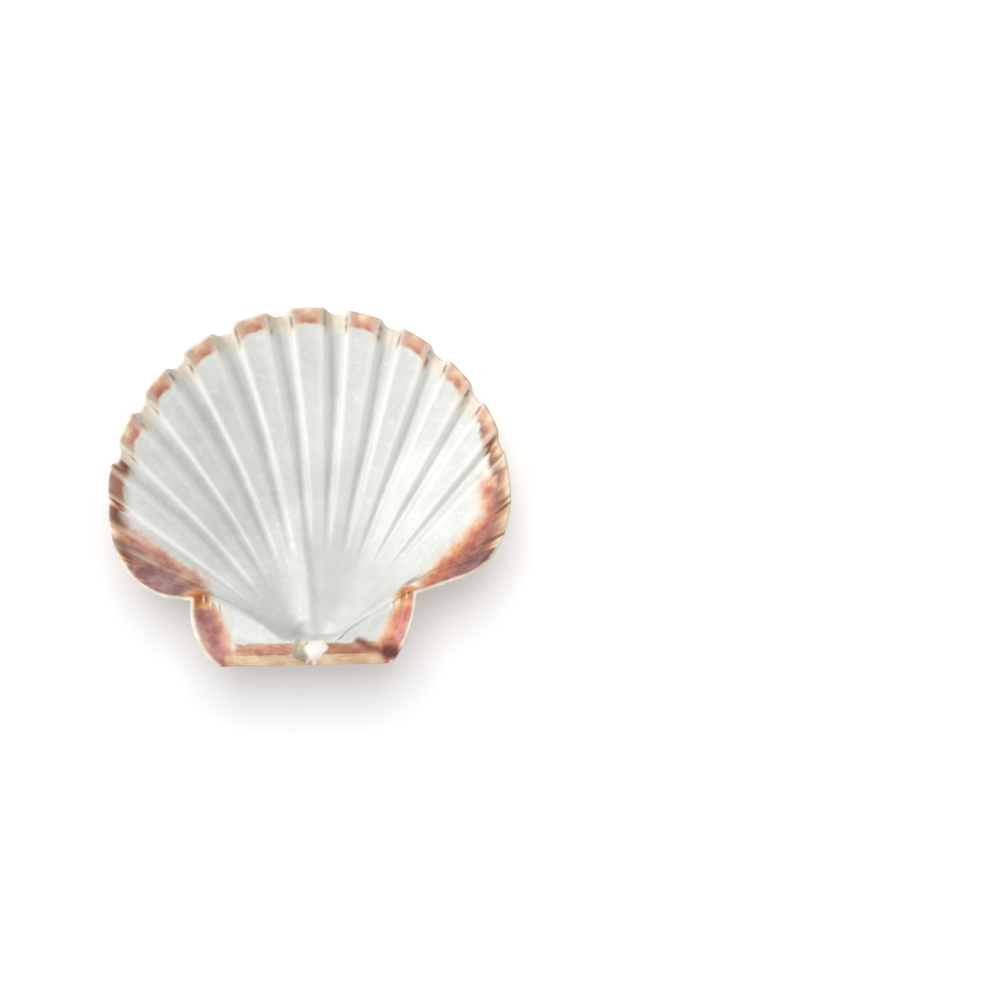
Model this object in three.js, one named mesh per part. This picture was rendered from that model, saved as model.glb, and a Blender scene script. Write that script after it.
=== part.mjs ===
// One valve of a scallop shell, lying on its convex outside with the hollow inside facing up.
// Millimetres, +Z up. The origin is under the middle of the valve, on the surface it rests on.
//
// The valve is worked out in its own growth frame and then laid down. There the hinge line runs along X, the
// margin lies in the XY plane on the +Y side, and the convex side bulges toward -Z. The body grows as a
// logarithmic spiral: every earlier margin is the present one, shrunk toward the beak and turned about the hinge.
//
// Both faces of the valve are fans of columns from the beak to the margin. A column is named by its direction in
// degrees: on the disc it is the true direction about the fan centre, and past the disc's two ends the numbers
// carry on round the notches and the ears to the two hinge corners. A row is the fraction of the way out, from 0
// at the beak to 1 at the margin.
import * as THREE from 'three';

// ---- Driving dimensions, in mm; columns in degrees ----
const DISC_RADIUS = 62.3;
const DISC_CENTRE = [1.9, 46.6];
const FAN_CENTRE = [4.2, 8.3];            // the folds' outer stretches meet here when carried on inward
const BEAK_PULL = [2.2, 8.4];             // how far the folds keep toward the fan centre before the beak
const FLARE = 1.3;                        // above 1, the columns curve outward toward the margin
const FOLD_SWING = 0.21;                  // share of its column by which a fold swings outward at the beak
const SWING_END = 58;                     // columns past this even out again toward the notches
const SPIRAL_RATE = 0.62;                 // turn about the hinge, in radians, for each e-fold of growth
const FULLNESS = 0.26;                    // extra depth of the disc midway between its middle and its ends
const DISC_ENDS = [-76.6, 70.8];          // columns where the disc's outline leaves its circle's fan
const NOTCH_COLUMNS = [-88, 82];
const CORNER_COLUMNS = [-130, 124];
const NOTCHES = [[-35.2, 18.6], [34.3, 19.3]];
const EAR_BULGES = [[-36.4, 6.5], [32.0, 6.0]];
const HINGE_CORNERS = [[-27.0, -1.9], [26.3, -1.9]];
const HINGE_BACK = -1.9;                  // the hinge's back edge
const HINGE_RIDGE = 1.3;                  // the line where the two valves meet
const PLATE_FRONT = 4.9;                  // the hinge plate's front edge
const EAR_FLOOR = -2.7;
const EAR_WALL = 2.1;
const FOLD_PITCH = 10.35;
const FOLD_START = 5.3;                   // column at the left edge of a fold
const FOLD_SHARE = 0.685;                 // a fold's share of the pitch, seen from inside
const FOLD_RELIEF = 1.15;                 // half the folds' height on the inside, at the margin
const RIB_RELIEF = 1.25;                  // half the ribs' height on the outside, at the margin
const TOOTH = 0.65;                       // half the step in the outline where a fold ends
const WALL = 2.3;
const UMBO_EXTRA = 3.2;                   // added wall near the beak
const RIM_LESS = 1.0;                     // taken off the wall at the margin
const BEAK_DEPTH = -3.9;
const JUNCTION_REACH = 24;                // columns over which the disc's flank turns into the ear
const FLANK_DROP = 2.4;                   // extra depth of the disc's side walls beside the ears
const REST_TILT = 8.0;                    // degrees: at rest the margin's top lies lower than the hinge
const REST_ROLL = 0.0;                    // degrees: at rest the valve leans to one side
const WORN = 0.35;                        // the outside is worn flat by this much where it rests

// ---- Mesh density ----
const FOLD_PHASES = [0.08, 0.6, 0.76, 0.92];   // columns of one pitch: two on the fold, two in the channel
const NOTCH_STEPS = 3;
const EAR_STEPS = 7;
const PLATE_ROWS = 7;
const INNER_ROWS = 24;
const OUTER_ROWS = 27;
const INNER_START = 0.2;                  // rows below this run straight to the beak, over the hinge plate
const OUTER_START = 0.05;

const radians = (degrees) => degrees * Math.PI / 180;
const clamp = (value, low, high) => Math.min(high, Math.max(low, value));
const mix = (from, to, share) => from + (to - from) * share;

function smooth(value) {
  const t = clamp(value, 0, 1);
  return t * t * (3 - 2 * t);
}

// ---- The outline ----

// the disc's edge: a circle about its centre, drawn in toward the fan centre on the two lower lobes
function discEdge(column) {
  const direction = [Math.sin(radians(column)), Math.cos(radians(column))];
  const offset = [DISC_CENTRE[0] - FAN_CENTRE[0], DISC_CENTRE[1] - FAN_CENTRE[1]];
  const along = offset[0] * direction[0] + offset[1] * direction[1];
  const across2 = offset[0] ** 2 + offset[1] ** 2 - along ** 2;
  const left = Math.max(0, -column - 58.8);
  const right = Math.max(0, column - 53.2);
  const drawnIn = 0.0186 * left ** 2 + 0.019 * right ** 2 + 0.31 * ((left / 13) ** 10 + (right / 13) ** 10);
  const reach = along + Math.sqrt(DISC_RADIUS ** 2 - across2) - drawnIn;
  return [FAN_CENTRE[0] + reach * direction[0], FAN_CENTRE[1] + reach * direction[1]];
}

// a point of the margin: the disc's edge, then the lobe's lower edge, then the ear's bowed side
function marginPoint(column) {
  const side = column < 0 ? 0 : 1;
  const past = (from, to) => (column - from[side]) / (to[side] - from[side]);
  const notch = NOTCHES[side];
  const ear = past(NOTCH_COLUMNS, CORNER_COLUMNS);
  if (ear > 0) {
    const weights = [(1 - ear) ** 2, 2 * ear * (1 - ear), ear ** 2];
    return [0, 1].map((axis) => weights[0] * notch[axis] + weights[1] * EAR_BULGES[side][axis]
      + weights[2] * HINGE_CORNERS[side][axis]);
  }
  const lobe = past(DISC_ENDS, NOTCH_COLUMNS);
  const edge = discEdge(clamp(column, ...DISC_ENDS));
  return [0, 1].map((axis) => mix(edge[axis], notch[axis], Math.max(0, lobe)));
}

// ---- Folds and ribs ----

// +1 on a fold as seen from inside, -1 in a channel, fading out before the disc's two ends
function foldWave(column) {
  const phase = (((column - FOLD_START) / FOLD_PITCH) % 1 + 1) % 1;
  const fromMiddle = Math.abs(phase - FOLD_SHARE / 2);
  const distance = Math.min(fromMiddle, 1 - fromMiddle);
  const fade = smooth((column - DISC_ENDS[0]) / 9) * smooth((DISC_ENDS[1] - column) / 9);
  return fade * Math.tanh((FOLD_SHARE / 2 - distance) * FOLD_PITCH * 1.1);
}

// ---- Columns ----

// a point of a disc column in the growth frame
function spiralPoint(end, row, column) {
  const turn = -SPIRAL_RATE * Math.log(row);
  const fuller = 1 + FULLNESS * Math.sin(radians(1.8 * clamp(column, ...DISC_ENDS))) ** 2;
  const eased = 1 - (1 - row) ** 4;
  const out = BEAK_PULL[1] * eased + (end[1] - BEAK_PULL[1]) * row;
  const x = BEAK_PULL[0] * eased + (end[0] - BEAK_PULL[0]) * row ** FLARE;
  return [x, out * Math.cos(turn), -out * Math.sin(turn) * fuller];
}

// how far the line where ear and disc meet lies from the hinge, by its distance from the middle
function junctionLine(x, side) {
  const [endX, endY] = NOTCHES[side];
  const line = (d) => HINGE_BACK + 6.2 * (1 - Math.exp(-((d / 5) ** 1.5)))
    + 0.31 * (Math.hypot(d - 7, 2) + d - Math.hypot(7, 2));
  const drop = line(Math.abs(endX)) - endY;
  return line(Math.abs(x)) - drop * clamp((Math.abs(x) - Math.abs(endX) + 4.4) / 4.4, 0, 1) ** 2;
}

// height of the hinge's top: a slope up from the back edge to the ridge, then the hinge plate's slope inward
function hingeTop(y) {
  if (y < HINGE_RIDGE) return -2.6 + 2.3 * smooth((y - HINGE_BACK) / (HINGE_RIDGE - HINGE_BACK));
  return -0.3 - 1.5 * smooth((y - HINGE_RIDGE) / (PLATE_FRONT + 0.1 - HINGE_RIDGE));
}

// height of an ear's inside
function earTop(y, row) {
  return mix(hingeTop(y), EAR_FLOOR + 1.9 * row ** 7, smooth((y - PLATE_FRONT + 0.3) / 2.2));
}

// the plan column that a fold's own column lies on: the same at the margin, and carried outward toward the beak;
// past the swing's end the columns even out to the notches, which stay
function swung(fold, row, side) {
  const carried = 1 + FOLD_SWING * (1 - row);
  const notch = NOTCH_COLUMNS[side];
  const end = side ? SWING_END : -SWING_END;
  if (Math.abs(fold) < SWING_END) return fold * carried;
  return Math.abs(fold) < Math.abs(notch) ? mix(end * carried, notch, (fold - end) / (notch - end)) : fold;
}

// where a fold column's row lies in plan, with the outer face's height there, before and after its ribs
function columnPoint(fold, row, start) {
  const side = fold < 0 ? 0 : 1;
  const out = Math.max(row, start);
  const column = swung(fold, out, side);
  const margin = marginPoint(column);
  const notch = NOTCHES[side];
  const into = side ? NOTCH_COLUMNS[1] - column : column - NOTCH_COLUMNS[0];
  const nearX = notch[0] * out ** 0.9;
  const nearY = junctionLine(nearX, side);
  const wave = foldWave(fold);
  const inEar = into <= 0;
  let [x, y, height] = [0, 0, 0];
  let disc = 0;
  if (inEar) {
    x = margin[0] * out ** 0.9;
    y = mix(HINGE_BACK, nearY, (margin[1] - HINGE_BACK) / (notch[1] - HINGE_BACK));
  } else {
    const away = [margin[0] - FAN_CENTRE[0], margin[1] - FAN_CENTRE[1]];
    const tooth = TOOTH * wave * out ** 10 / Math.hypot(...away);
    const end = [margin[0] + tooth * away[0], margin[1] + tooth * away[1]];
    const spiral = spiralPoint(end, out, column);
    const share = clamp(into / JUNCTION_REACH, 0, 1);
    const firstColumn = NOTCH_COLUMNS[side] + (side ? -1 : 1) * JUNCTION_REACH;
    const first = marginPoint(firstColumn);
    const far = spiralPoint(first, out, firstColumn);
    const blend = [0, 1].map((axis) => {
      const off = margin[axis] - mix(notch[axis], first[axis], share);
      return mix([nearX, nearY][axis], far[axis], share) + off * out ** 6;
    });
    const own = smooth((share - 0.3) / 0.7);
    x = mix(blend[0], spiral[0], own);
    y = mix(blend[1], spiral[1], own);
    height = spiral[2];
    disc = smooth(share);
  }
  const toBeak = clamp(row / start, 0, 1);
  x *= toBeak;
  y = mix(HINGE_BACK, y, toBeak);
  const inside = earTop(y, row);
  const earUnder = Math.min(inside, -1.9) - EAR_WALL + 0.9 * row ** 6;
  const flank = FLANK_DROP * smooth(into / 7) * (1 - smooth((into - 7) / 40)) * Math.sin(Math.PI * out ** 0.8);
  const plain = mix(earUnder, height - flank, disc);
  const umboCap = out < 0.3 ? -4.1 * (1 - smooth((out - 0.1) / 0.2)) : Infinity;
  const ribbed = Math.min(plain + RIB_RELIEF * out ** 0.8 * wave * disc, inEar ? Infinity : umboCap);
  return { x, y, plain, ribbed, inside, wave: wave * disc, inEar, toBeak, side };
}

function outerPoint(column, row) {
  const at = columnPoint(column, row, OUTER_START);
  return [at.x, at.y, at.inEar ? at.plain : mix(BEAK_DEPTH, at.ribbed, at.toBeak)];
}

function innerPoint(column, row) {
  const at = columnPoint(column, row, INNER_START);
  if (at.inEar) return [at.x, at.y, at.inside];
  const notch = columnPoint(NOTCH_COLUMNS[at.side], row, INNER_START);
  const fromEar = Math.hypot(at.x - notch.x, at.y - notch.y);
  const wall = WALL + UMBO_EXTRA * (1 - smooth((row - 0.1) / 0.5)) - RIM_LESS * smooth((row - 0.86) / 0.14);
  const floor = at.plain + wall + FOLD_RELIEF * smooth((row - 0.36) / 0.45) * at.wave;
  const bowl = mix(at.inside, floor, smooth(fromEar / 4.2));
  return [at.x, at.y, mix(hingeTop(at.y), bowl, smooth((at.y - PLATE_FRONT) / 3.6))];
}

// ---- The closed mesh ----

function spread(from, to, steps) {
  return Array.from({ length: steps }, (_, step) => mix(from, to, step / steps));
}

function shellColumns() {
  const columns = [...spread(CORNER_COLUMNS[0], NOTCH_COLUMNS[0], EAR_STEPS),
    ...spread(NOTCH_COLUMNS[0], DISC_ENDS[0], NOTCH_STEPS)];
  const firstPitch = Math.floor((DISC_ENDS[0] - FOLD_START) / FOLD_PITCH);
  const lastPitch = Math.ceil((DISC_ENDS[1] - FOLD_START) / FOLD_PITCH);
  columns.push(DISC_ENDS[0]);
  for (let pitch = firstPitch; pitch <= lastPitch; pitch += 1) {
    for (const phase of FOLD_PHASES) {
      const column = FOLD_START + (pitch + phase) * FOLD_PITCH;
      if (column > DISC_ENDS[0] + 1 && column < DISC_ENDS[1] - 1) columns.push(column);
    }
  }
  columns.push(...spread(DISC_ENDS[1], NOTCH_COLUMNS[1], NOTCH_STEPS));
  columns.push(...spread(NOTCH_COLUMNS[1], CORNER_COLUMNS[1], EAR_STEPS), CORNER_COLUMNS[1]);
  return columns;
}

// a fan of points: one at the beak, then a ring for each row; returns a lookup from column and row to an index
function addFan(points, columns, rows, place) {
  const beak = points.length;
  points.push(place(0, 0));
  for (const row of rows) {
    for (const column of columns) points.push(place(column, row));
  }
  return (i, j) => (j === 0 ? beak : beak + 1 + (j - 1) * columns.length + i);
}

function fanFaces(faces, at, columnCount, rowCount, flip) {
  const add = (a, b, c) => faces.push(...(flip ? [a, c, b] : [a, b, c]));
  for (let i = 0; i + 1 < columnCount; i += 1) {
    add(at(i, 0), at(i + 1, 1), at(i, 1));
    for (let j = 1; j < rowCount; j += 1) {
      add(at(i, j), at(i + 1, j), at(i + 1, j + 1));
      add(at(i, j), at(i + 1, j + 1), at(i, j + 1));
    }
  }
}

// faces between two chains that start and end together, always stepping along the chain that lags
function zipChains(faces, upper, lower, flip) {
  const add = (a, b, c) => faces.push(...(flip ? [a, c, b] : [a, b, c]));
  let [i, j] = [0, 0];
  while (i + 1 < upper.length || j + 1 < lower.length) {
    const stepUpper = j + 1 === lower.length
      || (i + 1 < upper.length && upper[i + 1].row <= lower[j + 1].row);
    if (stepUpper) {
      add(upper[i].index, upper[i + 1].index, lower[j].index);
      i += 1;
    } else {
      add(upper[i].index, lower[j + 1].index, lower[j].index);
      j += 1;
    }
  }
}

function layDown(points) {
  const turn = new THREE.Matrix4().makeRotationY(radians(REST_ROLL));
  turn.multiply(new THREE.Matrix4().makeRotationX(radians(-REST_TILT)));
  const laid = points.map((point) => new THREE.Vector3(...point).applyMatrix4(turn));
  const ground = Math.min(...laid.map((point) => point.z)) + WORN;
  for (const point of laid) point.z = Math.max(point.z, ground);
  const box = new THREE.Box3().setFromPoints(laid);
  const centre = box.getCenter(new THREE.Vector3());
  return laid.flatMap((point) => [point.x - centre.x, point.y - centre.y, point.z - ground]);
}

function buildShell() {
  const columns = shellColumns();
  const innerRows = [...spread(0, INNER_START, PLATE_ROWS), ...spread(INNER_START, 1, INNER_ROWS), 1].slice(1);
  const outerRows = [OUTER_START / 2, ...spread(OUTER_START, 1, OUTER_ROWS), 1];
  const points = [];
  const faces = [];
  const inner = addFan(points, columns, innerRows, innerPoint);
  const outer = addFan(points, columns, outerRows, outerPoint);
  fanFaces(faces, inner, columns.length, innerRows.length, false);
  fanFaces(faces, outer, columns.length, outerRows.length, true);
  for (let i = 0; i + 1 < columns.length; i += 1) {
    const [a, b] = [inner(i, innerRows.length), inner(i + 1, innerRows.length)];
    const [c, d] = [outer(i, outerRows.length), outer(i + 1, outerRows.length)];
    faces.push(a, b, d, a, d, c);
  }
  const last = columns.length - 1;
  for (const [column, flip] of [[0, false], [last, true]]) {
    const chain = (at, rows) => [0, ...rows].map((row, j) => ({ row, index: at(column, j) }));
    zipChains(faces, chain(inner, innerRows), chain(outer, outerRows), flip);
  }
  const geometry = new THREE.BufferGeometry();
  geometry.setAttribute('position', new THREE.Float32BufferAttribute(layDown(points), 3));
  geometry.setIndex(faces);
  geometry.computeVertexNormals();
  return geometry;
}

const shellMaterial = new THREE.MeshStandardMaterial({ color: 0xe9eae4, roughness: 0.35, metalness: 0 });
const shell = new THREE.Mesh(buildShell(), shellMaterial);
shell.name = 'shell';

const scallop = new THREE.Group();
scallop.add(shell);

export default scallop;
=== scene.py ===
"""Looks of one scallop valve lying on its convex outside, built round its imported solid."""
import math

import bpy
import numpy as np
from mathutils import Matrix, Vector


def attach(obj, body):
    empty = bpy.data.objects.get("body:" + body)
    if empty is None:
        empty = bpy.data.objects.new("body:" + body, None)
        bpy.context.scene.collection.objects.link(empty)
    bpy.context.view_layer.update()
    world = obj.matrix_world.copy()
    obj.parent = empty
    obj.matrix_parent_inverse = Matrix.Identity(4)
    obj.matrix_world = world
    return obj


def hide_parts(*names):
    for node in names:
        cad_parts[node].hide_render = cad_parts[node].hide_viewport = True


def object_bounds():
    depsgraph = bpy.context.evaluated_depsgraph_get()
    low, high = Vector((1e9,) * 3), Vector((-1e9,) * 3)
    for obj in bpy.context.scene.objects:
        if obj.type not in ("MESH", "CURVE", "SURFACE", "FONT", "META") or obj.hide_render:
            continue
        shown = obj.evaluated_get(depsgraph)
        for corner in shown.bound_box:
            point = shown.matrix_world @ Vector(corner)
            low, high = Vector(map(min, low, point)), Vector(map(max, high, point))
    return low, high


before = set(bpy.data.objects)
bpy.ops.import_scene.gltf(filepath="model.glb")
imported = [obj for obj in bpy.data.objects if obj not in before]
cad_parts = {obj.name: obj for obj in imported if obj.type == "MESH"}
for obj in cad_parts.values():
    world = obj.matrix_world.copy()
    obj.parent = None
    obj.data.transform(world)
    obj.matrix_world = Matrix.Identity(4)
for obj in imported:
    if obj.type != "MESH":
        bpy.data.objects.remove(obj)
solid_box = [list(map(float, corner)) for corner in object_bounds()]


# ---------------------------------------------------------------------------
# The valve: one piece of calcite, grown by the mantle from the beak outward, smooth like porcelain inside and
# ribbed and rough outside. It is worked out in its growth frame, in millimetres (hinge along X, margin toward
# +Y, convex side toward -Z), and then laid down as it rests.
# ---------------------------------------------------------------------------

DISC_RADIUS = 62.3
DISC_CENTRE = np.array([1.9, 46.6])
FAN_CENTRE = np.array([4.2, 8.3])       # the folds' outer stretches meet here when carried on inward
BEAK_PULL = np.array([2.2, 8.4])        # how far the folds keep toward the fan centre before the beak
FLARE = 1.3                             # above 1, the grid's columns curve outward toward the margin
FOLD_SWING = 0.21                       # share of its column by which a fold swings outward at the beak
SWING_END = 58.0                        # columns past this even out again toward the notches
SPIRAL_RATE = 0.62                      # turn about the hinge, in radians, for each e-fold of growth
FULLNESS = 0.26                         # extra depth of the disc midway between its middle and its ends
DISC_ENDS = (-76.6, 70.8)               # columns, in degrees, where the disc's own outline ends
FAN_ENDS = (-60.0, 69.0)                # columns past which there are neither ribs nor folds
FLANK_END = 55.0                        # column on the right past which the inside has no folds either
NOTCH_COLUMNS = (-88.0, 82.0)
CORNER_COLUMNS = (-130.0, 124.0)
NOTCHES = np.array([[-35.2, 18.6], [34.3, 19.3]])
EAR_BULGES = np.array([[-36.4, 6.5], [33.0, 6.0]])
HINGE_CORNERS = np.array([[-27.0, -1.9], [26.3, -1.9]])
HINGE_BACK = -1.9                       # the hinge's back edge
HINGE_RIDGE = 1.3                       # the line where the two valves met
PLATE_FRONT = 4.9                       # the hinge plate's front edge
FOLD_PITCH = 10.35
FOLD_START = 6.1                        # column at the left edge of a fold
FOLD_TOP = 0.53                         # share of the pitch taken by a fold's flat top, as seen from inside
FOLD_WALL = 0.155                       # share taken by each of its walls
FOLD_RELIEF = 1.55                      # half the folds' height on the inside, at the margin
RIB_RELIEF = 1.25                       # half the ribs' height on the outside, at the margin
TOOTH = 0.65                            # half the step in the outline where a fold ends
JUNCTION_REACH = 24.0                   # columns over which the disc's flank turns into the ear
INNER_START = 0.2                       # rows below this run straight to the beak, over the hinge plate
OUTER_START = 0.05
REST_TILT = math.radians(8.0)           # at rest the margin's top lies lower than the hinge
WORN = 0.35                             # the outside is worn flat by this much where it rests
MM = 0.001


def smooth(value):
    """Eased step: 0 below 0, 1 above 1, and 3t^2 - 2t^3 between."""
    t = np.clip(value, 0.0, 1.0)
    return t * t * (3 - 2 * t)


def mix(low, high, share):
    """Straight blend from low to high."""
    return low + (high - low) * share


def disc_edge(column):
    """The disc's outline: a circle seen from the fan centre, drawn in on the two lower lobes by a square and
    a tenth-power term of the columns past 58.8 degrees left and 53.2 degrees right."""
    angle = np.radians(column)
    direction = np.stack([np.sin(angle), np.cos(angle)], -1)
    along = direction @ (DISC_CENTRE - FAN_CENTRE)
    across2 = np.sum((DISC_CENTRE - FAN_CENTRE) ** 2) - along ** 2
    left = np.maximum(0, -column - 58.8)
    right = np.maximum(0, column - 53.2)
    drawn_in = 0.0186 * left ** 2 + 0.019 * right ** 2 + 0.31 * ((left / 13) ** 10 + (right / 13) ** 10)
    reach = along + np.sqrt(DISC_RADIUS ** 2 - across2) - drawn_in
    return FAN_CENTRE + reach[..., None] * direction


def margin_points(column):
    """The whole margin by column: the disc's edge, a straight lower edge on each lobe, and a quadratic curve
    down the side of each ear."""
    side = (column > 0).astype(int)
    ends = np.array(DISC_ENDS)[side]
    notches = np.array(NOTCH_COLUMNS)[side]
    corners = np.array(CORNER_COLUMNS)[side]
    lobe = np.clip((column - ends) / (notches - ends), 0, 1)[..., None]
    ear = np.clip((column - notches) / (corners - notches), 0, 1)[..., None]
    disc = mix(disc_edge(np.clip(column, *DISC_ENDS)), NOTCHES[side], lobe)
    bowed = NOTCHES[side] * (1 - ear) ** 2 + 2 * EAR_BULGES[side] * ear * (1 - ear)
    return np.where(ear > 0, bowed + HINGE_CORNERS[side] * ear ** 2, disc)


def end_fade(column):
    """1 on the fan of folds, easing to 0 over the eight columns before each of the two plain lobes."""
    return smooth((column - FAN_ENDS[0]) / 8) * smooth((FAN_ENDS[1] - column) / 8)


def inner_fade(column):
    """The same for the inside, where the right flank's folds ease out over sixteen columns before its end."""
    return end_fade(column) * smooth((FLANK_END - column) / 16)


def fold_phase(column):
    """Distance from the nearest fold's middle, as a share of the pitch, 0 to 0.5."""
    phase = (column - FOLD_START) / FOLD_PITCH % 1.0
    from_middle = np.abs(phase - FOLD_TOP / 2)
    return np.minimum(from_middle, 1 - from_middle)


def fold_wave(column, row):
    """Squared-off wave: +1 on a fold's flat top, -1 in a channel, and eased walls between, which take up a
    larger share of the pitch toward the beak."""
    wall = FOLD_WALL * (1 + 0.6 * smooth((0.95 - row) / 0.4))
    top = FOLD_TOP + FOLD_WALL - wall
    return (1 - 2 * smooth((fold_phase(column) - top / 2) / wall)) * inner_fade(column)


def rib_wave(column):
    """The outside's wave: rounded ribs on the channels' backs, +1 at a crest and -1 in the narrow grooves."""
    from_crest = 1 - 2 * fold_phase(column)
    return (1 - 2 * from_crest ** 2.2) * end_fade(column)


def spiral(end, row, column):
    """A disc column in the growth frame: the margin point shrunk toward the beak, and turned about the hinge
    by the spiral rate times the logarithm of the shrinking."""
    turn = -SPIRAL_RATE * np.log(row)
    fuller = 1 + FULLNESS * np.sin(np.radians(1.8 * np.clip(column, *DISC_ENDS))) ** 2
    eased = 1 - (1 - row) ** 4
    out = BEAK_PULL[1] * eased + (end[..., 1] - BEAK_PULL[1]) * row
    x = BEAK_PULL[0] * eased + (end[..., 0] - BEAK_PULL[0]) * row ** FLARE
    return x, out * np.cos(turn), -out * np.sin(turn) * fuller


def junction_line(x, side):
    """Distance from the hinge of the line where ear and disc meet: a quick rise near the beak, a straight run
    outward from 7 mm, and a square-law drop into the notch over the last 4.4 mm."""
    def line(d):
        rise = 6.2 * (1 - np.exp(-(d / 5) ** 1.5))
        return HINGE_BACK + rise + 0.31 * (np.hypot(d - 7, 2) + d - math.hypot(7, 2))
    notch_x = np.abs(NOTCHES[side][..., 0])
    past = np.clip((np.abs(x) - notch_x + 4.4) / 4.4, 0, 1)
    return line(np.abs(x)) - (line(notch_x) - NOTCHES[side][..., 1]) * past ** 2


def ligament_pit(x, y):
    """How far a point is inside the pit that held the ligament, in mm: a kite on a line that leans left going
    inward, widest 3 mm in from the hinge's back edge."""
    inward = y - HINGE_BACK
    half = 0.5 + 3.1 * smooth(inward / 3) - 2.4 * smooth((inward - 3) / 5.5)
    return half - np.abs(x + 0.28 * inward)


def chalky_lump(x, y):
    """How far a point is inside the white lump right of the pit, in mm: a wedge with its tip at the back
    edge, rounded off at its inner end, its sides uneven by a slow sine wave."""
    inward = y - HINGE_BACK
    half = 0.7 + 3.3 * smooth(inward / 5.5) - 2.6 * smooth((inward - 5.2) / 3.2)
    within = np.minimum(half - np.abs(x - 2.6 - 0.12 * inward), 7.8 - inward)
    return within + 0.12 * np.sin(1.6 * x + 1.2 * y)


def hinge_top(x, y):
    """Height across the hinge: an eased slope up from the back edge to the ridge, then down the hinge plate,
    with the ligament's pit sunk in its middle and the chalky lump standing beside it."""
    back = -2.6 + 2.3 * smooth((y - HINGE_BACK) / (HINGE_RIDGE - HINGE_BACK))
    plate = -0.3 - 1.5 * smooth((y - HINGE_RIDGE) / (PLATE_FRONT + 0.1 - HINGE_RIDGE))
    height = np.where(y < HINGE_RIDGE, back, plate)
    pit = ligament_pit(x, y)
    lump = chalky_lump(x, y)
    rays = 0.08 * np.sin(34 * (y - HINGE_BACK) / (np.abs(x) + 9)) * smooth((np.abs(x) - 4) / 3)
    sunk = -1.2 * smooth(pit / 2.0) + 0.4 * np.exp(-(pit / 0.5) ** 2)
    domed = (0.5 + 0.1 * np.sin(1.3 * x - 0.8 * y)) * smooth(lump / 2.2)
    return height + rays + sunk * (1 - smooth(lump / 0.8)) * smooth((y - HINGE_BACK) / 0.8) + domed


def swung(fold, row, side):
    """The plan column that a fold's own column lies on: the same at the margin, and carried outward by the
    fold swing toward the beak; past the swing's end the columns even out to the notches, which stay."""
    notch = np.array(NOTCH_COLUMNS)[side]
    end = np.where(side == 1, SWING_END, -SWING_END)
    carried = 1 + FOLD_SWING * (1 - row)
    evened = mix(end * carried, notch, np.clip((fold - end) / (notch - end), 0, 1))
    beyond = np.where(np.abs(fold) < np.abs(notch), evened, fold)
    return np.where(np.abs(fold) < SWING_END, fold * carried, beyond)


def fan(columns, rows, start):
    """Both faces' common grid. Disc columns follow the spiral; ear columns are the junction line scaled
    toward the hinge; between the notch and the first free disc column the columns are blended."""
    fold, row = np.meshgrid(columns, rows, indexing="ij")
    out = np.maximum(row, start)
    side = (fold > 0).astype(int)
    column = swung(fold, out, side)
    margin = margin_points(column)
    notch = NOTCHES[side]
    into = np.where(side == 1, NOTCH_COLUMNS[1] - column, column - NOTCH_COLUMNS[0])
    in_ear = into <= 0
    near = np.stack([notch[..., 0] * out ** 0.9, np.zeros(row.shape)], -1)
    near[..., 1] = junction_line(near[..., 0], side)
    away = margin - FAN_CENTRE
    away /= np.linalg.norm(away, axis=-1, keepdims=True)
    end = margin + (TOOTH * fold_wave(fold, out) * out ** 10)[..., None] * away
    disc_x, disc_y, disc_z = spiral(end, out, column)
    share = np.clip(into / JUNCTION_REACH, 0, 1)
    first_column = np.array([NOTCH_COLUMNS[0] + JUNCTION_REACH, NOTCH_COLUMNS[1] - JUNCTION_REACH])
    first = margin_points(first_column)[side]
    far = np.stack(spiral(first, out, first_column[side])[:2], -1)
    off = margin - mix(notch, first, share[..., None])
    blend = mix(near, far, share[..., None]) + off * out[..., None] ** 6
    own = smooth((share - 0.3) / 0.7)
    x = np.where(in_ear, margin[..., 0] * out ** 0.9, mix(blend[..., 0], disc_x, own))
    scaled = (margin[..., 1] - HINGE_BACK) / (notch[..., 1] - HINGE_BACK)
    y = np.where(in_ear, mix(HINGE_BACK, near[..., 1], scaled), mix(blend[..., 1], disc_y, own))
    to_beak = np.clip(row / start, 0, 1)
    x = x * to_beak
    y = mix(HINGE_BACK, y, to_beak)
    disc = np.where(in_ear, 0.0, smooth(share))
    inside = mix(hinge_top(x, y), -2.7 + 1.9 * row ** 7, smooth((y - PLATE_FRONT + 0.3) / 2.2))
    lifted = (0.4 + 1.6 * smooth((y - HINGE_BACK) / 3)) * row ** 6
    under_ear = lifted - 4.0 - 0.7 * smooth((y - HINGE_RIDGE) / 4)
    flank = 2.4 * smooth(into / 7) * (1 - smooth((into - 7) / 40)) * np.sin(np.pi * out ** 0.8)
    plain = mix(under_ear, disc_z - flank, disc)
    return {"column": fold, "row": row, "out": out, "x": x, "y": y, "plain": plain, "inside": inside,
            "disc": disc, "in_ear": in_ear, "into": into, "to_beak": to_beak, "side": side,
            "margin": margin}


FAR = 99.0                              # stands for a distance too great to matter


def outer_face(columns, rows):
    """The outside: the spiral with its ribs, closed to a point at the beak."""
    at = fan(columns, rows, OUTER_START)
    ribbed = at["plain"] - RIB_RELIEF * at["out"] ** 0.8 * rib_wave(at["column"]) * at["disc"]
    cap = np.where(at["out"] < 0.3, -4.1 * (1 - smooth((at["out"] - 0.1) / 0.2)), 9.0)
    height = np.where(at["in_ear"], at["plain"], mix(-3.9, np.minimum(ribbed, cap), at["to_beak"]))
    at["edge"] = (1 - at["row"]) * FAR
    at["teeth"] = np.zeros(at["row"].shape)
    return np.stack([at["x"], at["y"], height], -1), at


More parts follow.
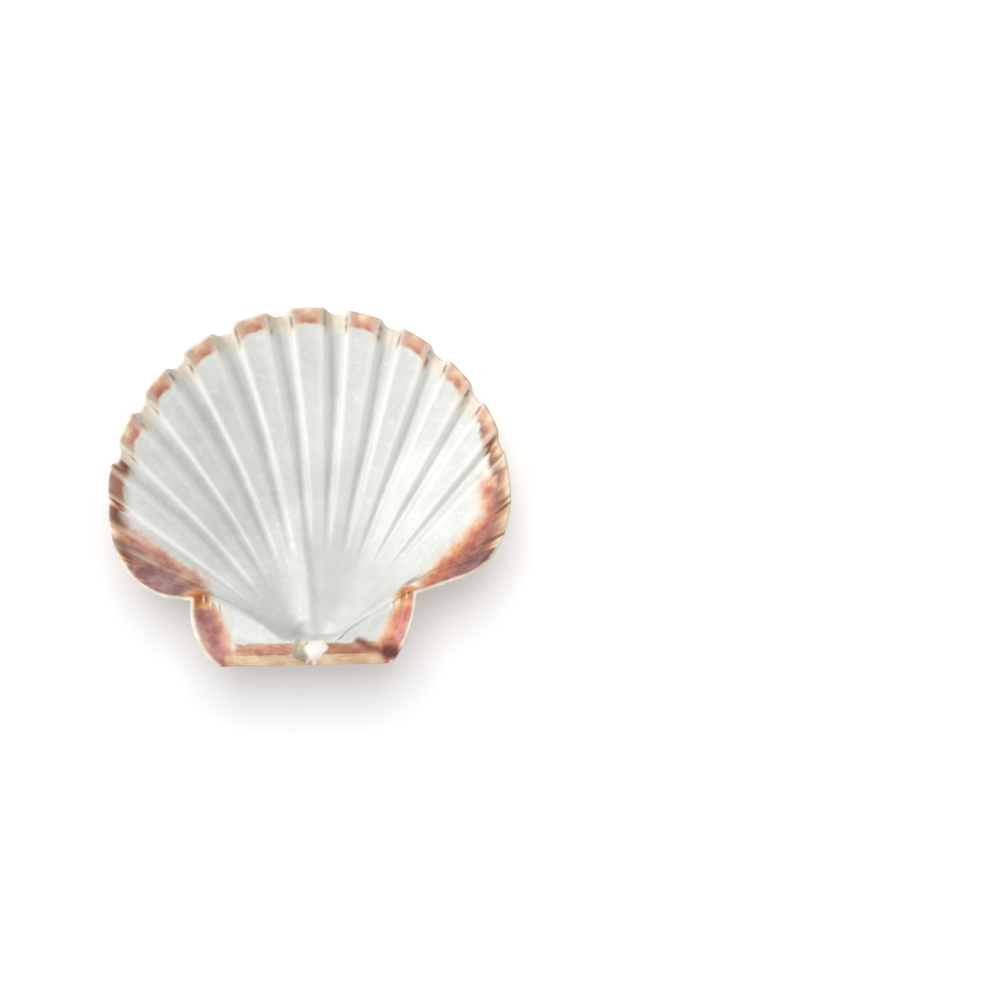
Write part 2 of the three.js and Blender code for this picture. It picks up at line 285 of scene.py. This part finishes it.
def from_margin(at):
    """Distance in mm from each point to the nearest point of the margin, in plan, one row at a time."""
    rim_x = at["x"][:, -1]
    rim_y = at["y"][:, -1]
    by_row = zip(at["x"].T, at["y"].T)
    return np.stack([np.hypot(x[:, None] - rim_x, y[:, None] - rim_y).min(1) for x, y in by_row], 1)


def crest_line(y):
    """Where the low crest up the floor runs: bending left by a 1.3 power of the distance from the beak."""
    return -0.2 - 5.1 * np.clip((y - 5.7) / 43.3, 0, 1.2) ** 1.3


def crease_wave(column):
    """The short creases in the margin beside the fan: a sine wave about 3.1 columns long, unevenly spaced."""
    return np.sin(2 * np.pi * (column + 1.5 * np.sin(column)) / 3.1)


def beside_fan(column):
    """1 on the columns on both sides of the fan that carry creases, easing to 0 beyond them."""
    left = smooth((-46 - column) / 4) * smooth((column + 70) / 5)
    return left + smooth((column - 52) / 6) * smooth((71 - column) / 5)


def inner_marks(at, edge):
    """Small relief of the inside, in mm: a raised keel along both edges of every fold and a finer one down
    its middle on the flanks; short creases beside the fan; the step where the inner layer stops short of the
    margin; a low crest up the floor, steep on its right; the adductor's scar; and a rounded lip."""
    column, row, x, y = at["column"], at["row"], at["x"], at["y"]
    from_fold = fold_phase(column) * FOLD_PITCH
    grown = smooth((row - 0.46) / 0.36) * inner_fade(column)
    keel = 0.4 * np.exp(-((from_fold - FOLD_TOP / 2 * FOLD_PITCH + 0.15) / 0.55) ** 2) * grown
    outer = smooth((row - 0.6) / 0.2)
    flank = smooth((np.abs(column) - 14) / 14) * inner_fade(column)
    middle = 0.35 * np.exp(-(from_fold / 0.36) ** 2) * flank * outer
    step = -0.2 * smooth((4.9 - edge) / 0.9) * (0.3 + 0.7 * fold_wave(column, row)) * outer
    creased = beside_fan(column) * smooth((9 - edge) / 7) * (1 - at["in_ear"])
    creases = 0.55 * np.clip(crease_wave(column), -0.6, 0.35) * creased
    side = x - crest_line(y)
    slope = np.where(side < 0, 9.0, 2.2)
    crest = 1.5 * np.exp(-(side / slope) ** 2) * smooth((y - 8) / 8) * smooth((54 - y) / 22)
    scar = np.hypot(x - 9.0, (y - 44.0) * 1.1) - 13.5
    scar_step = -0.25 * smooth(0.5 - scar / 1.2) * smooth((46 - y) / 12)
    lip = 0.35 * np.exp(-((edge - 1.5) / 0.8) ** 2) - 0.2 * smooth(1 - edge / 1.3)
    on_disc = (keel + middle + step) * at["disc"]
    return on_disc + creases + crest + scar_step + lip * (1 - end_fade(column) * 0.9)


def notch_teeth(at):
    """A row of blunt teeth along each ear's edge by the notch: rectified sine waves 2.2 mm apart, 0 to 1."""
    below = junction_line(at["x"], at["side"]) - at["y"]
    along = np.abs(at["x"])
    wave = np.maximum(0, np.sin(2 * np.pi * along / 2.2)) ** 1.5
    stretch = smooth((along - 25.5) / 1.5) * smooth((33.5 - along) / 1.5)
    return wave * np.exp(-((below - 0.3) / 1.1) ** 2) * stretch


def inner_face(columns, rows):
    """The inside: the outside raised by the wall's thickness, with its own folds, a steep side wall down
    from each ear's floor, and the hinge plate over the beak."""
    at = fan(columns, rows, INNER_START)
    row = at["row"]
    notch_row = [int(np.argmin(np.abs(columns - c))) for c in NOTCH_COLUMNS]
    plan = np.stack([at["x"], at["y"]], -1)
    nearest = np.where((at["side"] == 1)[..., None], plan[notch_row[1]], plan[notch_row[0]])
    from_ear = np.linalg.norm(plan - nearest, axis=-1)
    wall = 2.3 + 3.2 * (1 - smooth((row - 0.1) / 0.5)) - smooth((row - 0.86) / 0.14)
    folds = FOLD_RELIEF * smooth((row - 0.33) / 0.45) * fold_wave(at["column"], row) * at["disc"]
    edge = from_margin(at)
    marks = inner_marks(at, edge)
    floor = at["plain"] + wall + folds
    bowl = mix(at["inside"], floor, smooth(from_ear / 4.2))
    height = mix(hinge_top(at["x"], at["y"]), bowl, smooth((at["y"] - PLATE_FRONT) / 3.6))
    below = junction_line(at["x"], at["side"]) - at["y"]
    past_plate = smooth((at["y"] - PLATE_FRONT) / 2.0)
    cupped = at["inside"] - 0.5 * smooth((edge - 1.0) / 3.0) * past_plate * smooth(below / 5)
    height = np.where(at["in_ear"], mix(at["inside"], cupped, smooth(-at["into"] / 6)), height)
    at["edge"] = edge
    at["teeth"] = notch_teeth(at)
    height = height + marks * past_plate + 0.55 * at["teeth"]
    return np.stack([at["x"], at["y"], height], -1), at


def shell_columns():
    """Column directions: 24 to a fold's pitch, closer together on its walls, and even steps on the lobes'
    lower edges and the ears."""
    knots = np.cumsum([0.0, FOLD_TOP, FOLD_WALL, 1 - FOLD_TOP - 2 * FOLD_WALL, FOLD_WALL])
    spans = zip(knots, knots[1:], (7, 6, 5, 6))
    pitch = np.concatenate([np.linspace(a, b, n, endpoint=False) for a, b, n in spans])
    pitches = np.arange(-9, 8)[:, None] + pitch[None, :]
    disc = FOLD_START + FOLD_PITCH * pitches.ravel()
    disc = disc[(disc > DISC_ENDS[0] + 0.2) & (disc < DISC_ENDS[1] - 0.2)]
    left = np.concatenate([np.linspace(CORNER_COLUMNS[0], NOTCH_COLUMNS[0], 32, endpoint=False),
                           np.linspace(NOTCH_COLUMNS[0], DISC_ENDS[0], 16, endpoint=False), DISC_ENDS[:1]])
    right = np.concatenate([DISC_ENDS[1:], np.linspace(DISC_ENDS[1], NOTCH_COLUMNS[1], 16)[1:],
                            np.linspace(NOTCH_COLUMNS[1], CORNER_COLUMNS[1], 33)[1:]])
    return np.concatenate([left, disc, right])


def laid_down(points):
    """The growth frame turned by the rest tilt about the hinge line, and worn flat where it rests."""
    turn = np.array([[1, 0, 0],
                     [0, math.cos(REST_TILT), math.sin(REST_TILT)],
                     [0, -math.sin(REST_TILT), math.cos(REST_TILT)]])
    laid = points @ turn.T
    ground = laid[:, 2].min() + WORN
    laid[:, 2] = np.maximum(laid[:, 2], ground) - ground
    low, high = laid.min(0), laid.max(0)
    solid_low, solid_high = np.array(solid_box) / MM
    laid[:, :2] += ((solid_low + solid_high - low - high) / 2)[:2]
    return laid


columns = shell_columns()
inner_rows = np.concatenate([np.linspace(0, INNER_START, 41)[1:], np.linspace(INNER_START, 1, 101)[1:]])
outer_rows = np.concatenate([[OUTER_START / 2, OUTER_START], np.linspace(OUTER_START, 1, 73)[1:]])
inner_points, inner_at = inner_face(columns, inner_rows)
outer_points, outer_at = outer_face(columns, outer_rows)
rim_steps = np.array([0.25, 0.6, 0.88])
rim_points = mix(inner_points[:, -1:, :], outer_points[:, -1:, :], rim_steps[None, :, None])
bulge = np.sin(np.pi * rim_steps)[None, :, None] * 0.25
outward = inner_points[:, -1, :2] - inner_points[:, -4, :2]
outward /= np.linalg.norm(outward, axis=-1, keepdims=True)
rim_points[..., :2] += bulge * outward[:, None, :]


def grid_index(start, columns_count, rows_count):
    """Vertex numbers of a grid stored column by column."""
    return start + np.arange(columns_count)[:, None] * rows_count + np.arange(rows_count)[None, :]


def quads(index):
    """Quads between neighbouring columns and rows of an index grid, facing up where rows run outward and
    columns run clockwise."""
    return np.stack([index[:-1, :-1], index[1:, :-1], index[1:, 1:], index[:-1, 1:]], -1).reshape(-1, 4)


inner_index = grid_index(0, len(columns), len(inner_rows))
rim_index = grid_index(inner_index.size, len(columns), len(rim_steps))
outer_index = grid_index(inner_index.size + rim_index.size, len(columns), len(outer_rows))
inner_beak = inner_index.size + rim_index.size + outer_index.size
outer_beak = inner_beak + 1
skin = np.concatenate([inner_index, rim_index, outer_index[:, ::-1]], axis=1)
beaks = np.array([[0, HINGE_BACK, -2.6], [0, HINGE_BACK, -3.9]])
points = np.concatenate([part.reshape(-1, 3) for part in (inner_points, rim_points, outer_points, beaks)])
inner_tip = np.stack([np.full(len(columns) - 1, inner_beak), inner_index[1:, 0], inner_index[:-1, 0]], -1)
outer_tip = np.stack([np.full(len(columns) - 1, outer_beak), outer_index[:-1, 0], outer_index[1:, 0]], -1)


def back_wall(upper, lower, upper_rows, lower_rows, flip):
    """Triangles of the narrow wall along the hinge's back edge: two chains zipped together by their rows."""
    i = j = 0
    faces = []
    while i + 1 < len(upper) or j + 1 < len(lower):
        step = j + 1 == len(lower) or (i + 1 < len(upper) and upper_rows[i + 1] <= lower_rows[j + 1])
        face = (upper[i], upper[i + 1], lower[j]) if step else (upper[i], lower[j + 1], lower[j])
        faces.append(face[::-1] if flip else face)
        i, j = (i + 1, j) if step else (i, j + 1)
    return faces


walls = []
for edge, flip in ((0, False), (-1, True)):
    upper = np.append(inner_beak, inner_index[edge])
    lower = np.append(outer_beak, outer_index[edge])
    walls += back_wall(upper, lower, np.append(0, inner_rows), np.append(0, outer_rows), flip)
    rim_fan = [lower[-1], *rim_index[edge][::-1], upper[-1]]
    for a, b in zip(rim_fan[:-2], rim_fan[1:-1]):
        face = (upper[-1], a, b)
        walls.append(face if flip else face[::-1])


NO_STAIN = -20.0                        # a stain's field where there is none of it


# what the colours follow: fields over the grid, carried by the mesh as attributes
def fields(at, points, inside):
    """Measures that the material reads, in mm unless said. A stain's field is the distance inside its inner
    border, and far below 0 where there is none; the borders on lobes and ears are straight lines in plan.
    Those that are a share from 0 to 1 are bell curves of a distance, faded by eased steps."""
    x = points[..., 0]
    y = points[..., 1]
    column = at["column"]
    row = at["row"]
    edge = at["edge"]
    on_disc = ~at["in_ear"]
    from_fold = fold_phase(column) * FOLD_PITCH
    fan = smooth((column + 72) / 8) * smooth((56 - column) / 10)
    plate = np.minimum(PLATE_FRONT - y, (23.5 - np.abs(x - 1.2)) * 0.5)
    corner = 3.4 - np.hypot((x - 26.0) * 0.8, (y - 1.6) * 1.15)
    along = np.clip(((x - 16.0) * 10.0 - (y - 5.2) * 4.6) / 121.2, 0, 1)
    streak = 1.5 - np.hypot(x - 16.0 - 10.0 * along, y - 5.2 + 4.6 * along)
    left = np.minimum(-0.591 * (x + 56.9) - 0.807 * (y - 45.6), -30.5 - x)
    right = np.maximum(0.727 * (x - 53.3) - 0.686 * (y - 45), np.minimum(x - 52.8, 0.7 * (57 - y)))
    beside = ((column > -70) & (column < -48)) | ((column > 38) & (column < 66))
    flat = {
        "inside": np.full(row.shape, inside),
        "column": column,
        "growth": (1 - row) * np.linalg.norm(at["margin"] - [0, HINGE_BACK], axis=-1),
        "channel_end": np.minimum(6.5 - edge, (from_fold - 2.6) * 3) * fan + NO_STAIN * (1 - fan),
        "fold_end": np.minimum(4.7 - edge, (3.0 - from_fold) * 1.6) * fan + NO_STAIN * (1 - fan),
        "keel": np.exp(-((from_fold - 2.4) / 0.5) ** 2) * smooth((11 - edge) / 7) * fan,
        # painted shade: brown lines beside each keel near the margin, one on the fold's top and one down its
        # wall
        "keel_shade_line": np.exp(-((from_fold - 1.7) / 0.35) ** 2) * smooth((5.6 - edge) / 1.5)
                      * smooth(edge / 2) * fan,
        "keel_groove_shade": np.exp(-((from_fold - 3.2) / 0.36) ** 2) * smooth((6.5 - edge) / 3)
                     * smooth(edge / 1.5) * fan,
        "lobe_left": np.where(on_disc, left, NO_STAIN),
        "lobe_right": np.where(on_disc, np.minimum(right, x - 33.5), NO_STAIN),
        # paler fold walls along the folds: partly whiter calcite, partly painted light
        "pale_wall_and_highlight": np.exp(-((from_fold - 3.0) / 0.8) ** 2) * smooth((row - 0.45) / 0.3) * fan,
        "ear_left": np.where(on_disc, NO_STAIN, -(x + 24.6 - 0.35 * (15 - y)) / 1.06),
        "ear_right": np.where(on_disc, NO_STAIN, (x - 25.6 + 0.5 * (15 - y)) / 1.12),
        "rim": np.where(beside, 4.8 - edge + crease_wave(column), NO_STAIN),
        # greyer patch right of the floor's crest, over the adductor's scar: partly the scar's own tone,
        # partly painted shade
        "scar_and_shade": np.exp(-((x - 9) / 17) ** 2 - ((y - 34) / 26) ** 2) * smooth((x - crest_line(y)) / 3),
        # painted shade: dark brown along the bottoms of the short creases beside the fan
        "crease_shade": np.exp(-((crease_wave(column) + 1) / 0.55) ** 2) * beside_fan(column)
                  * smooth((7.5 - edge) / 5) * on_disc,
        "lip": 1.2 - edge - 0.6 * fan - 0.5 * smooth((y - 24) / 8) * (x > 0),
        "amber": 3.4 - np.hypot((np.abs(x + 0.6) - 32.5) * 0.65, y - 19.0),
        "plate": plate,
        "slope": np.minimum(HINGE_RIDGE - y, (25.0 - np.abs(x)) * 0.35),
        "ray": (y - HINGE_BACK) / (np.abs(x) + 9),
        "plan_x": x,
        "dark": np.maximum(corner, streak),
        # the pit: cream at its rim, greyer deeper in, which is painted shade in the hollow
        "pit": np.minimum(ligament_pit(x, y), (7.2 - y) * 2),
        # the lump: chalk white, partly its own chalky calcite, partly painted light
        "lump": chalky_lump(x, y),
        "teeth": at["teeth"],
    }
    return {name: values.reshape(-1) for name, values in flat.items()}


inner_fields = fields(inner_at, inner_points, 1.0)
outer_fields = fields(outer_at, outer_points, 0.0)
rim_inside = np.broadcast_to(1 - rim_steps, (len(columns), len(rim_steps)))
beak_values = {"growth": 60.0, "channel_end": NO_STAIN, "fold_end": NO_STAIN}
shell_fields = {}
for name, inner_values in inner_fields.items():
    along_rim = inner_values.reshape(len(columns), -1)[:, -1:] + np.zeros(len(rim_steps))
    if name == "inside":
        along_rim = rim_inside
    tips = [1.0, 0.0] if name == "inside" else [beak_values.get(name, 0.0)] * 2
    shell_fields[name] = np.concatenate([inner_values, along_rim.reshape(-1), outer_fields[name], tips])

mesh = bpy.data.meshes.new("valve")
triangles = np.concatenate([inner_tip, outer_tip, np.array(walls)])
mesh.from_pydata(laid_down(points) * MM, [], quads(skin).tolist() + triangles.tolist())
mesh.validate()
mesh.update()
for name, values in shell_fields.items():
    layer = mesh.attributes.new(name, "FLOAT", "POINT")
    layer.data.foreach_set("value", values.astype(np.float32))
mesh.polygons.foreach_set("use_smooth", np.ones(len(mesh.polygons), dtype=bool))
valve = bpy.data.objects.new("valve", mesh)
bpy.context.scene.collection.objects.link(valve)


def linear(colour):
    """An sRGB hex colour as linear RGBA."""
    channels = [int(colour[i:i + 2], 16) / 255 for i in (1, 3, 5)]
    return [c / 12.92 if c <= 0.04045 else ((c + 0.055) / 1.055) ** 2.4 for c in channels] + [1.0]


def node(kind, inputs=(), out=0, stops=(), **settings):
    """Adds a node to the material being made: its settings, its ramp's (place, colour) stops, then its inputs
    by number or name, each a value, a hex colour or another node's output. Gives the output asked for."""
    made = tree.nodes.new("ShaderNode" + kind)
    for name, value in settings.items():
        setattr(made, name, value)
    for i, (place, colour) in enumerate(stops):
        element = made.color_ramp.elements[i] if i < 2 else made.color_ramp.elements.new(place)
        element.position = place
        element.color = linear(colour)
    for name, value in (inputs.items() if isinstance(inputs, dict) else enumerate(inputs)):
        if isinstance(value, bpy.types.NodeSocket):
            tree.links.new(value, made.inputs[name])
        else:
            made.inputs[name].default_value = linear(value) if isinstance(value, str) else value
    return made.outputs[out] if len(made.outputs) else made


# Foliated calcite, laid down in thin sheets by the mantle: a soft sheen inside, white with faint grey clouds
# and small bright flecks, partly the sheets' edges and partly painted glints. The colour lies in the outer
# layer, so inside it shows only where the inner layer thins out, stained orange to mauve-brown. Outside it is
# chalky and matt.
CLOUD = 16.667                          # sizes of the patterns' features, in mm
RAGGED_EDGE = 3.03
SHEET_AND_GLINT = 2.632
BLOTCH = 4.762
FIBRE_WIDTH = 1.25                      # in columns
FIBRE_LENGTH = 16.667
HINGE_LINE = 1 / 26                     # as a share of the hinge's rays
HINGE_LINE_LENGTH = 8.333
BAND = 9.091
BAND_LENGTH = 33.333                    # in columns
GROWTH_STEP = 0.9666                    # real ones are finer: drawn as coarse as they need to show
RIBLET = 1.496                          # in columns
RELIEF = 0.12                           # height of the relief that is too fine for the mesh
calcite = bpy.data.materials.new("shell calcite")
calcite.use_nodes = True
tree = calcite.node_tree
tree.nodes.clear()
place = node("TexCoord", out="Object")
field = {name: node("Attribute", out="Fac", attribute_name=name) for name in shell_fields}

cloud = node("TexNoise", {"Vector": place, "Scale": 1 / (CLOUD * MM), "Detail": 4.0, "Roughness": 0.6})
ragged = node("TexNoise", {"Vector": place, "Scale": 1 / (RAGGED_EDGE * MM), "Detail": 4.0, "Roughness": 0.6})
sheet_edges_and_glints = node("TexNoise", {"Vector": place, "Scale": 1 / (SHEET_AND_GLINT * MM), "Detail": 2.0, "Distortion": 0.9})
blotches = node("TexNoise", {"Vector": place, "Scale": 1 / (BLOTCH * MM), "Detail": 3.0, "Roughness": 0.55})
fibre_place = node("CombineXYZ", [node("Math", [field["column"], FIBRE_WIDTH], operation="DIVIDE"),
                                  node("Math", [field["growth"], FIBRE_LENGTH], operation="DIVIDE")])
fibre = node("TexNoise", {"Vector": fibre_place, "Scale": 1.0, "Detail": 4.0, "Roughness": 0.6})
wobble = node("Math", [node("Math", [cloud, ragged], operation="ADD"), 1.0], operation="SUBTRACT")
fibre_wobble = node("Math", [fibre, 0.5], operation="SUBTRACT")

colour = node("ValToRGB", [cloud], stops=[(0.3, "#D2D4CF"), (0.5, "#DBDDD8"), (0.7, "#E6E8E4")])
# small whiter flecks over the white: partly the sheets' edges, partly painted glints
fleck_and_glint = node("MapRange", [sheet_edges_and_glints, 0.56, 0.72, 0.0, 0.45])
colour = node("Mix", {0: fleck_and_glint, 6: colour, 7: "#F2F5F2"}, out=2, data_type="RGBA")
# greyer patch right of the crest: partly the adductor's scar, partly painted shade
# paler fold walls: partly whiter calcite, partly painted light
for name, strength, tone in (("scar_and_shade", 0.6, "#BFC2BA"), ("pale_wall_and_highlight", 0.8, "#F4F6F3")):
    share = node("Math", [field[name], strength], operation="MULTIPLY")
    colour = node("Mix", {0: share, 6: colour, 7: tone}, out=2, data_type="RGBA")

mottle = node("ValToRGB", [blotches], stops=[(0.36, "#7C5A50"), (0.5, "#BCBABA"), (0.62, "#F2ECE4")])

# Each patch of colour, most of them stains: its field, how far its border wanders with clouds and with
# fibres, the depth over which it comes in, the depth its colours span, and its colours from the inner border
# outward.
colour_patches = [
    ("channel_end", 2.0, 0.0, 5.0, 6.0, [(0.0, "#E4DFD3"), (0.6, "#E6DDCC"), (1.0, "#EADFCE")]),
    ("lobe_left", 4.5, 1.4, 3.2, 16.0, [(0.0, "#E8CDBB"), (0.1, "#DDAE97"), (0.24, "#C08A7B"),
                                        (0.42, "#A97F79"), (0.6, "#8F7072"), (0.76, "#A07670"),
                                        (0.94, "#C08A60")]),
    ("lobe_right", 3.4, 1.0, 4.0, 15.0, [(0.0, "#F0DCC6"), (0.12, "#E2AE84"), (0.26, "#CA8058"),
                                         (0.38, "#B2644E"), (0.52, "#9E6256"), (0.7, "#8C6062"),
                                         (0.94, "#9C7068")]),
    ("ear_left", 1.6, 0.0, 3.0, 10.0, [(0.0, "#EFE4D3"), (0.14, "#E8C6AC"), (0.3, "#D2A08A"),
                                       (0.48, "#B87E75"), (0.7, "#AC7672"), (0.92, "#D0A89C")]),
    ("ear_right", 1.6, 0.0, 3.0, 9.5, [(0.0, "#F2E4D0"), (0.12, "#EDC8A2"), (0.28, "#DE9E78"),
                                       (0.46, "#CF8470"), (0.7, "#C87E72"), (0.92, "#B87C78")]),
    ("rim", 1.8, 1.4, 1.6, 4.6, [(0.0, "#A97358"), (0.35, "#8F5A41"), (0.7, "#B68562"), (1.0, "#DCC0A2")]),
    ("amber", 1.5, 0.0, 1.4, 2.6, [(0.0, "#E2B885"), (0.6, "#C47E48"), (1.0, "#B46434")]),
    ("fold_end", 2.2, 0.6, 0.8, 4.6, [(0.0, "#C9966A"), (0.2, "#BF8260"), (0.42, "#CC9480"),
                                      (0.64, "#DFB696"), (0.84, "#ECD3B6"), (1.0, "#F2E6D4")]),
    ("lip", 0.5, 0.0, 0.7, 2.0, [(0.0, "#E6D8C4"), (1.0, "#F0E9DC")]),
    ("plate", 1.6, 0.0, 0.8, 4.0, [(0.0, "#CB9D82"), (0.4, "#BF8A70"), (1.0, "#A9745C")]),
    ("slope", 0.6, 0.0, 0.5, 3.4, [(0.0, "#DDBB96"), (0.5, "#E6CAA6"), (1.0, "#D9B78F")]),
    ("dark", 1.6, 0.0, 1.8, 4.0, [(0.0, "#A0583C"), (0.4, "#7B3A2E"), (1.0, "#5C2A28")]),
    # the pit's cream rim is its own colour; the greys deeper in are painted shade in the hollow
    ("pit", 0.5, 0.0, 0.7, 3.0, [(0.0, "#EFE7D6"), (0.3, "#D2CBB8"), (1.0, "#BCB6A4")]),
    # the lump: chalk white, partly its own chalky calcite, partly painted light
    ("lump", 0.4, 0.0, 0.8, 4.0, [(0.0, "#F0EBDF"), (0.4, "#F9F6EE"), (1.0, "#FCFAF4")]),
]
for name, wander, fibres, fade, span, stops in colour_patches:
    depth = node("Math", [wobble, wander, field[name]], operation="MULTIPLY_ADD")
    depth = node("Math", [fibre_wobble, fibres, depth], operation="MULTIPLY_ADD")
    paint = node("ValToRGB", [node("MapRange", [depth, 0.0, span, 0.0, 1.0])], stops=stops)
    paint = node("Mix", {0: 0.6, 6: paint, 7: mottle}, out=2, data_type="RGBA", blend_type="SOFT_LIGHT")
    share = node("MapRange", [depth, -fade / 3, fade, 0.0, 1.0], interpolation_type="SMOOTHSTEP")
    colour = node("Mix", {0: share, 6: colour, 7: paint}, out=2, data_type="RGBA")

# growth lines: pale and dark fibres over the stains, and lines along the hinge that run to the beak
ray_place = node("CombineXYZ", [node("Math", [field["ray"], HINGE_LINE], operation="DIVIDE"),
                                node("Math", [field["plan_x"], HINGE_LINE_LENGTH], operation="DIVIDE")])
ray = node("TexNoise", {"Vector": ray_place, "Scale": 1.0, "Detail": 4.0, "Roughness": 0.65})
on_hinge = node("MapRange", [field["plate"], 0.0, 0.6, 0.0, 1.0])
off_stain = node("Math", [field["lobe_left"], field["lobe_right"]], operation="MAXIMUM")
on_stain = node("MapRange", [off_stain, 0.0, 2.0, 0.0, 0.7])
lines = node("Mix", {0: on_hinge, 2: fibre, 3: ray}, data_type="FLOAT")
lines_share = node("Math", [on_hinge, on_stain], operation="MAXIMUM")
lines_tone = node("ValToRGB", [lines], stops=[(0.33, "#8A5E50"), (0.5, "#BCBCBC"), (0.66, "#F6EDE6")])
lined = node("Mix", {0: node("Math", [lines_share, 0.3], operation="MULTIPLY"), 6: colour, 7: lines_tone},
             out=2, data_type="RGBA", blend_type="OVERLAY")
colour = node("Mix", {0: field["keel"], 6: lined, 7: "#EADFCB"}, out=2, data_type="RGBA")
# painted shade: broken brown lines beside each keel near the margin
for name, strength, tone in (("keel_shade_line", 0.35, "#B0744E"), ("keel_groove_shade", 0.9, "#93603F")):
    broken = node("MapRange", [blotches, 0.42, 0.58, 0.2 * strength, strength])
    share = node("Math", [field[name], broken], operation="MULTIPLY")
    colour = node("Mix", {0: share, 6: colour, 7: tone}, out=2, data_type="RGBA")
# painted shade: dark brown along the bottoms of the short creases beside the fan
colour = node("Mix", {0: node("Math", [field["crease_shade"], 0.7], operation="MULTIPLY"), 6: colour, 7: "#74463A"},
              out=2, data_type="RGBA")
colour = node("Mix", {0: field["teeth"], 6: colour, 7: "#EBDCC0"}, out=2, data_type="RGBA")

# outside: cream, clouded rosy brown in bands that follow the growth lines
band_place = node("CombineXYZ", [node("Math", [field["growth"], BAND], operation="DIVIDE"),
                                 node("Math", [field["column"], BAND_LENGTH], operation="DIVIDE")])
bands = node("TexNoise", {"Vector": band_place, "Scale": 1.0, "Detail": 5.0, "Roughness": 0.6})
outside = node("ValToRGB", [bands], stops=[(0.32, "#B4846F"), (0.44, "#D2B09C"), (0.54, "#EADDCD"),
                                           (0.68, "#F2ECE2")])
colour = node("Mix", {0: field["inside"], 6: outside, 7: colour}, out=2, data_type="RGBA")

# relief too fine for the mesh: growth lines and riblets outside, the riblets fading toward the beak; a faint
# ripple, fibres and hinge lines inside
steps = node("Math", [wobble, 2.0, field["growth"]], operation="MULTIPLY_ADD")
steps = node("Math", [steps, 2 * math.pi / GROWTH_STEP], operation="MULTIPLY")
steps = node("Math", [steps], operation="SINE")
riblets = node("Math", [field["column"], 2 * math.pi / RIBLET], operation="MULTIPLY")
riblets = node("Math", [riblets], operation="SINE")
riblet_share = node("MapRange", [field["growth"], 20.0, 70.0, 0.5, 0.0])
rough_side = node("Math", [riblets, riblet_share, steps], operation="MULTIPLY_ADD")
soft_side = node("Math", [node("Math", [lines, lines_share], operation="MULTIPLY"), 3.0, ragged],
                 operation="MULTIPLY_ADD")
relief = node("Mix", {0: field["inside"], 2: rough_side, 3: soft_side}, data_type="FLOAT")
bump = node("Bump", {"Height": relief, "Strength": 1.0, "Distance": RELIEF * MM})
roughness = node("MapRange", [field["inside"], 0.0, 1.0, 0.68, 0.48])
shader = node("BsdfPrincipled", {"Base Color": colour, "Roughness": roughness, "IOR": 1.58, "Normal": bump})
node("OutputMaterial", {"Surface": shader})
mesh.materials.append(calcite)
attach(valve, "root")
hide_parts("shell")


# ---------------------------------------------------------------------------
# The setting: a table top covered with matt white paper, level with the flats that the valve rests on. It is
# only a floor for the picture.
# ---------------------------------------------------------------------------

TABLE_REACH = 2.0                       # metres from the middle to each side
table_mesh = bpy.data.meshes.new("table_top")
corners = [(-TABLE_REACH, -TABLE_REACH, 0), (TABLE_REACH, -TABLE_REACH, 0),
           (TABLE_REACH, TABLE_REACH, 0), (-TABLE_REACH, TABLE_REACH, 0)]
table_mesh.from_pydata(corners, [], [(0, 1, 2, 3)])
table_top = bpy.data.objects.new("table_top", table_mesh)
bpy.context.scene.collection.objects.link(table_top)
paper = bpy.data.materials.new("white paper")
paper.use_nodes = True
paper.node_tree.nodes["Principled BSDF"].inputs["Base Color"].default_value = linear("#FFFFFF")
paper.node_tree.nodes["Principled BSDF"].inputs["Roughness"].default_value = 0.9
table_mesh.materials.append(paper)


# ---------------------------------------------------------------------------
# Light: a white room; a soft window high on the left that lights only the valve and brings out its folds; and
# a broad overhead panel that lights only the paper, keeps it white and drops a soft shadow below the hinge.
# ---------------------------------------------------------------------------

def softbox(name, place, size, power, lit):
    """A square area light at place, in metres, turned to the middle of the table, lighting one piece only."""
    lamp = bpy.data.lights.new(name, "AREA")
    lamp.shape = "SQUARE"
    lamp.size = size
    lamp.energy = power
    light = bpy.data.objects.new(name, lamp)
    light.location = place
    light.rotation_euler = (-Vector(place)).to_track_quat("-Z", "Y").to_euler()
    bpy.context.scene.collection.objects.link(light)
    light.light_linking.receiver_collection = bpy.data.collections.new("lit by " + name)
    light.light_linking.receiver_collection.objects.link(lit)


softbox("window", (-0.84, 0.27, 0.84), 0.45, 8.4, valve)
softbox("overhead panel", (0.05, 0.50, 1.1), 0.8, 7.4, table_top)
world = bpy.data.worlds.new("white room")
world.use_nodes = True
world.node_tree.nodes["Background"].inputs["Color"].default_value = (1, 1, 1, 1)
world.node_tree.nodes["Background"].inputs["Strength"].default_value = 0.70
bpy.context.scene.world = world
bpy.context.scene.view_settings.view_transform = "Standard"


# ---------------------------------------------------------------------------
# Camera: looking straight down from half a metre above the hinge. The valve lies left of the middle, and the
# camera is turned a little, so that the hinge line runs slightly uphill.
# ---------------------------------------------------------------------------

VIEW_WIDTH = 0.3115                     # metres across the picture at the height of the hinge
HINGE_HEIGHT = 0.023
CAMERA_HEIGHT = 0.50 + HINGE_HEIGHT
CAMERA_TURN = math.radians(-1.2)
camera_data = bpy.data.cameras.new("camera")
camera_data.sensor_width = 36.0
camera_data.lens = 36.0 * (CAMERA_HEIGHT - HINGE_HEIGHT) / VIEW_WIDTH
camera = bpy.data.objects.new("camera", camera_data)
bpy.context.scene.collection.objects.link(camera)
bpy.context.scene.camera = camera
camera.location = (0.0589, -0.0059, CAMERA_HEIGHT)
camera.rotation_euler = (0, 0, CAMERA_TURN)
